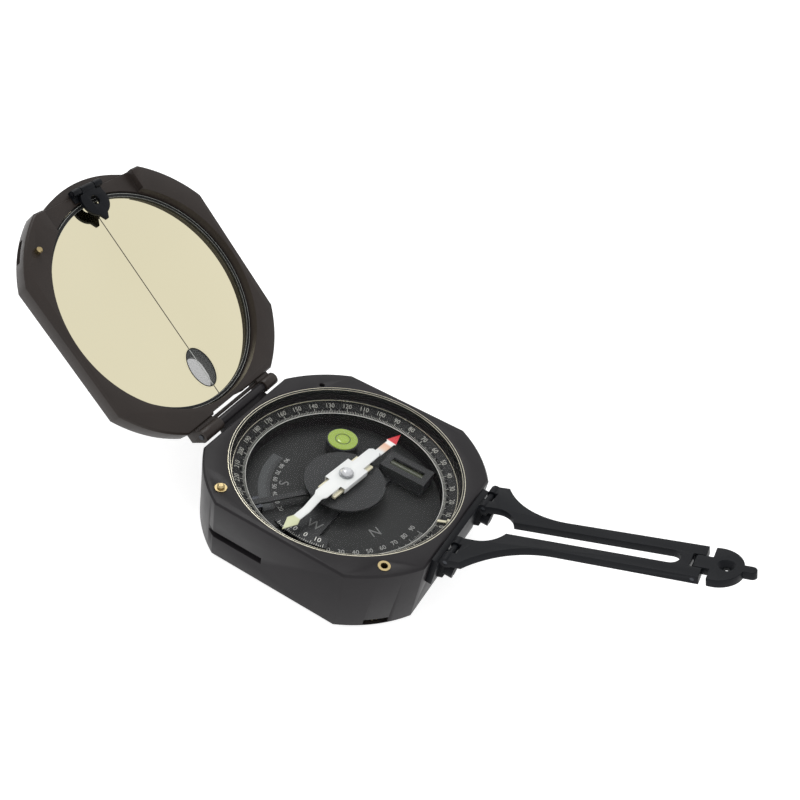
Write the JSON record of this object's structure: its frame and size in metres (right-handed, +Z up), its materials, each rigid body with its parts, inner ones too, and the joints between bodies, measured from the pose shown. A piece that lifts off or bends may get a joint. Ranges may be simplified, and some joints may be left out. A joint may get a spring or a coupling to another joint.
{
  "type": "geological compass",
  "caption": "Pocket compass with folding mirror lid, hinged slotted sighting arm, clinometer with levels under a graduated dial, turning azimuth ring and needle lift.",
  "frame": {"origin": "centre of the flat bottom face of the case, on the axis of the needle and of the dial", "axes": "+Z up through the crystal; +X from the lid's hinge to the sighting arm's hinge, along the line of sight; +Y to the left of someone who looks along +X"},
  "size_m": [0.2002, 0.07, 0.0689],
  "materials": {
    "case_paint": "satin dark grey-brown enamel on cast aluminium",
    "arm_paint": "satin blue-black enamel",
    "dial_black": "matte black dial",
    "brass": "plain brass",
    "steel": "plain steel",
    "gilt": "pale gilt wire and rim",
    "marker": "cream index",
    "crystal": "clear flat glass",
    "mirror": "silvered glass",
    "seal": "black rubber",
    "needle_white": "white lacquer with a red north tip",
    "jewel": "clear cap jewel",
    "level_green": "green level fluid in glass",
    "bracket_grey": "dark grey enamel"
  },
  "bodies": {
    "case": {"lower_case": "case_paint", "dial_plate": "dial_black", "crystal": "crystal", "crystal_gasket": "seal", "bezel_ring": "gilt", "ring_retainer": "gilt", "index_marker": "marker", "adjuster_cover": "case_paint", "lift_pin_bush": "brass", "lever_bracket": "steel", "lever_pivot": "steel", "stub_bush": "brass", "hinge_leaf_case": "case_paint", "hinge_leaf_screws": "steel", "hinge_pin": "steel", "arm_bracket": "arm_paint", "bracket_screws": "arm_paint"},
    "lid": {"lid_shell": "case_paint", "hinge_leaf_lid": "case_paint", "mirror_glass": "mirror", "mirror_ring": "dial_black", "mirror_pad": "seal", "lid_stub": "brass", "lid_sight_bracket": "arm_paint", "lid_sight_pin": "steel"},
    "lid_sight": {"lid_sight": "arm_paint"},
    "arm": {"sighting_arm": "arm_paint", "arm_pins": "steel", "tip_pin": "steel"},
    "tip_sight": {"tip_sight": "arm_paint"},
    "needle": {"needle_blade": "needle_white", "needle_magnets": "steel", "needle_hub": "brass", "needle_jewel": "jewel"},
    "ring": {"azimuth_ring": "dial_black"},
    "adjuster": {"adjuster_pinion": "brass", "adjuster_wheel": "brass"},
    "lift_pin": {"lift_pin": "brass"},
    "lift_lever": {"lift_lever": "steel", "lift_plate": "bracket_grey"},
    "clinometer": {"clinometer_shaft": "steel", "clinometer_arm": "bracket_grey", "clinometer_vernier": "steel", "tube_level_holder": "bracket_grey", "tube_level_vial": "level_green", "round_level_cup": "brass", "round_level_vial": "level_green", "pivot_post": "steel", "clinometer_knob": "case_paint", "knob_screw": "steel"}
  },
  "joints": [
    {"name": "lid_hinge", "type": "hinge", "parent": "case", "child": "lid", "pos_m": [-0.0375, 0, 0.0202], "axis": [0, -1, 0], "range_deg": [-138, 42]},
    {"name": "lid_sight_hinge", "type": "hinge", "parent": "lid", "child": "lid_sight", "pos_m": [-0.09247, 0, 0.06795], "axis": [0, -1, 0], "range_deg": [0, 180]},
    {"name": "arm_hinge", "type": "hinge", "parent": "case", "child": "arm", "pos_m": [0.0383, 0, 0.0215], "axis": [0, 1, 0], "range_deg": [-156.5, 23.5]},
    {"name": "tip_sight_hinge", "type": "hinge", "parent": "arm", "child": "tip_sight", "pos_m": [0.09094, 0, 0.04439], "axis": [0, -1, 0], "range_deg": [0, 90]},
    {"name": "needle_pivot", "type": "hinge", "parent": "case", "child": "needle", "pos_m": [0, 0, 0.0169], "axis": [0, 0, 1], "continuous": true},
    {"name": "ring_turn", "type": "hinge", "parent": "case", "child": "ring", "pos_m": [0, 0, 0.0125], "axis": [0, 0, 1], "continuous": true},
    {"name": "adjuster_turn", "type": "hinge", "parent": "case", "child": "adjuster", "pos_m": [0.02427, -0.0241, 0.001], "axis": [0, 0, 1], "continuous": true},
    {"name": "lift_pin_slide", "type": "slide", "parent": "case", "child": "lift_pin", "axis": [0, 0, 1], "range_m": [-0.00105, 0.00035]},
    {"name": "lift_lever_rock", "type": "hinge", "parent": "case", "child": "lift_lever", "pos_m": [-0.01536, -0.02098, 0.0111], "axis": [0.807, -0.5906, 0], "range_deg": [-0.35, 1.1]},
    {"name": "clinometer_turn", "type": "hinge", "parent": "case", "child": "clinometer", "pos_m": [0, 0, 0.0003], "axis": [0, 0, 1], "range_deg": [-90, 90]}
  ],
  "couplings": [
    {"joint": "adjuster_turn", "follows": "ring_turn", "ratio": -7.1429},
    {"joint": "lift_pin_slide", "follows": "lid_hinge", "m_per_rad": 0.00041519},
    {"joint": "lift_lever_rock", "follows": "lid_hinge", "ratio": -0.0076812}
  ]
}
